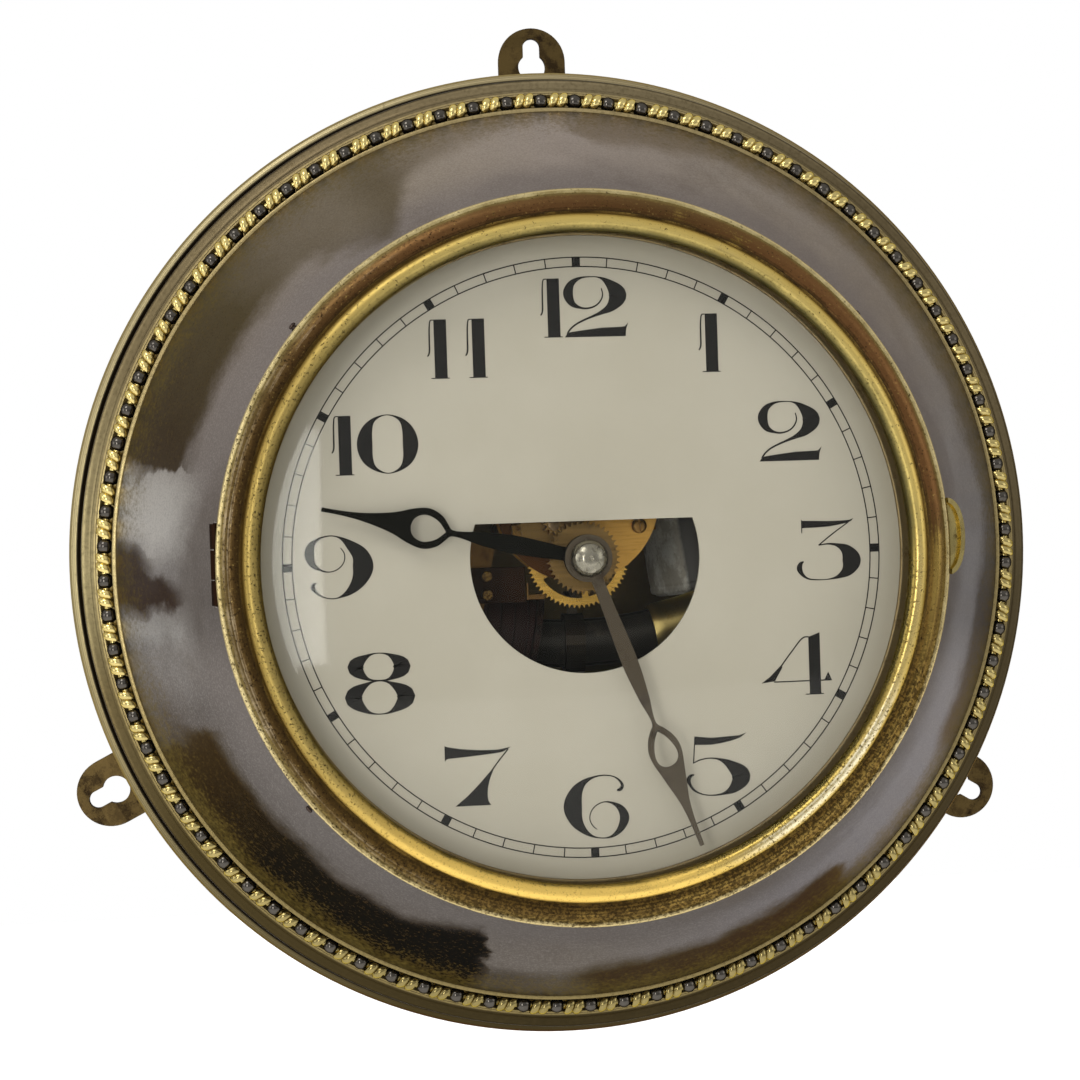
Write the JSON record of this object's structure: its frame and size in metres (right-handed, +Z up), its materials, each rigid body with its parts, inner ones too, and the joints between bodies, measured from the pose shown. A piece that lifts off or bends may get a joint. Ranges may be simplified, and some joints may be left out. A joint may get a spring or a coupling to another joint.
{
  "type": "electric wall clock",
  "caption": "Round brass wall clock with a hinged glass bezel, open-eyed hands, a half-moon dial window and an electric pendulum movement, hung by keyhole lugs.",
  "frame": {"origin": "where the axis of the dial meets the wall that the clock hangs on", "axes": "+Y into the wall, so the dial faces -Y; +Z up; +X to the right as seen from the front"},
  "size_m": [0.2648, 0.1105, 0.2788],
  "materials": {
    "polished_brass": "bright, lightly worn",
    "plain_brass": "satin, stained",
    "aged_brass": "brown patina",
    "nickel_brass": "grey plating over brass, brushed round, worn through near the beads",
    "steel": "satin",
    "black_steel": "black lacquer",
    "magnet_steel": "dark, dull",
    "dial_paint": "matte, cream grey",
    "clear_glass": "clear",
    "fibre": "pressed fibre",
    "coil_tape": "dark red tape over copper wire",
    "cell_case": "dull zinc grey",
    "wire_cover": "brown cotton and wax"
  },
  "bodies": {
    "case": {"rear_pan": "aged_brass", "front_shell": "nickel_brass", "bead_band": "polished_brass", "hanging_lug_top": "aged_brass", "hanging_lug_lower_right": "aged_brass", "hanging_lug_lower_left": "aged_brass", "lug_rivet_top": "plain_brass", "lug_rivet_lower_right": "plain_brass", "lug_rivet_lower_left": "plain_brass", "dial_surround": "aged_brass", "surround_screw_1": "black_steel", "surround_screw_2": "black_steel", "surround_screw_3": "black_steel", "surround_screw_4": "black_steel", "dial": "dial_paint", "case_hinge_leaf": "aged_brass", "hinge_pin": "steel", "catch_spring": "plain_brass", "front_plate": "plain_brass", "back_plate": "plain_brass", "pillar_left": "plain_brass", "pillar_right": "plain_brass", "pillar_top": "plain_brass", "plate_screw_left": "steel", "plate_screw_right": "steel", "plate_screw_top": "steel", "minute_wheel_post": "steel", "click_post": "steel", "suspension_cock": "plain_brass", "coil_bobbin": "fibre", "coil_winding": "coil_tape", "coil_bracket": "plain_brass", "contact_block": "fibre", "contact_spring": "plain_brass", "battery": "cell_case", "battery_clip": "plain_brass", "lead_to_coil": "wire_cover", "lead_to_plate": "wire_cover"},
    "bezel": {"bezel_ring": "polished_brass", "glass": "clear_glass", "glass_retainer": "plain_brass", "bezel_hinge_leaf": "plain_brass", "catch_lip": "polished_brass"},
    "centre_train": {"centre_arbor": "steel", "centre_wheel": "polished_brass", "cannon_pinion": "steel", "minute_hand": "black_steel", "hand_nut": "black_steel"},
    "hour_train": {"hour_wheel": "aged_brass", "hour_hand": "black_steel"},
    "minute_wheel": {"minute_wheel": "aged_brass"},
    "intermediate_wheel": {"intermediate_wheel": "plain_brass"},
    "count_wheel": {"count_wheel": "steel"},
    "click": {"click": "steel"},
    "pendulum": {"suspension_spring": "steel", "pendulum_rod": "plain_brass", "bar_magnet": "magnet_steel", "magnet_sleeve": "plain_brass"},
    "rating_nut": {"rating_nut": "plain_brass"},
    "gathering_pawl": {"gathering_pawl": "steel"}
  },
  "joints": [
    {"name": "bezel_hinge", "type": "hinge", "parent": "case", "child": "bezel", "pos_m": [-0.0834, -0.0984, 0.0014], "axis": [0, 0, -1], "range_deg": [0, 110]},
    {"name": "minute_hand_turn", "type": "hinge", "parent": "case", "child": "centre_train", "pos_m": [0, -0.095, 0], "axis": [0, 1, 0], "continuous": true},
    {"name": "hour_hand_turn", "type": "hinge", "parent": "case", "child": "hour_train", "pos_m": [0, -0.095, 0], "axis": [0, 1, 0], "continuous": true},
    {"name": "minute_wheel_turn", "type": "hinge", "parent": "case", "child": "minute_wheel", "pos_m": [-0.00679, -0.0865, 0.00782], "axis": [0, 1, 0], "continuous": true},
    {"name": "intermediate_wheel_turn", "type": "hinge", "parent": "case", "child": "intermediate_wheel", "pos_m": [0, -0.076, 0.01364], "axis": [0, 1, 0], "continuous": true},
    {"name": "count_wheel_turn", "type": "hinge", "parent": "case", "child": "count_wheel", "pos_m": [0.00922, -0.0724, 0.02071], "axis": [0, 1, 0], "continuous": true},
    {"name": "pendulum_swing", "type": "hinge", "parent": "case", "child": "pendulum", "pos_m": [0, -0.0615, 0.0885], "axis": [0, 1, 0], "range_deg": [-3, 3]},
    {"name": "rating_nut_turn", "type": "hinge", "parent": "pendulum", "child": "rating_nut", "pos_m": [0, -0.0615, -0.0322], "axis": [0, 0, 1], "continuous": true},
    {"name": "pawl_lift", "type": "hinge", "parent": "pendulum", "child": "gathering_pawl", "pos_m": [0.0146, -0.0721, 0.0342], "axis": [0, 1, 0], "range_deg": [0, 8]},
    {"name": "click_lift", "type": "hinge", "parent": "case", "child": "click", "pos_m": [-0.0055, -0.0721, 0.0255], "axis": [0, -1, 0], "range_deg": [0, 8]}
  ],
  "couplings": [
    {"joint": "hour_hand_turn", "follows": "minute_hand_turn", "ratio": 0.083333},
    {"joint": "minute_wheel_turn", "follows": "minute_hand_turn", "ratio": -0.33333},
    {"joint": "intermediate_wheel_turn", "follows": "minute_hand_turn", "ratio": -8},
    {"joint": "count_wheel_turn", "follows": "minute_hand_turn", "ratio": 75}
  ]
}
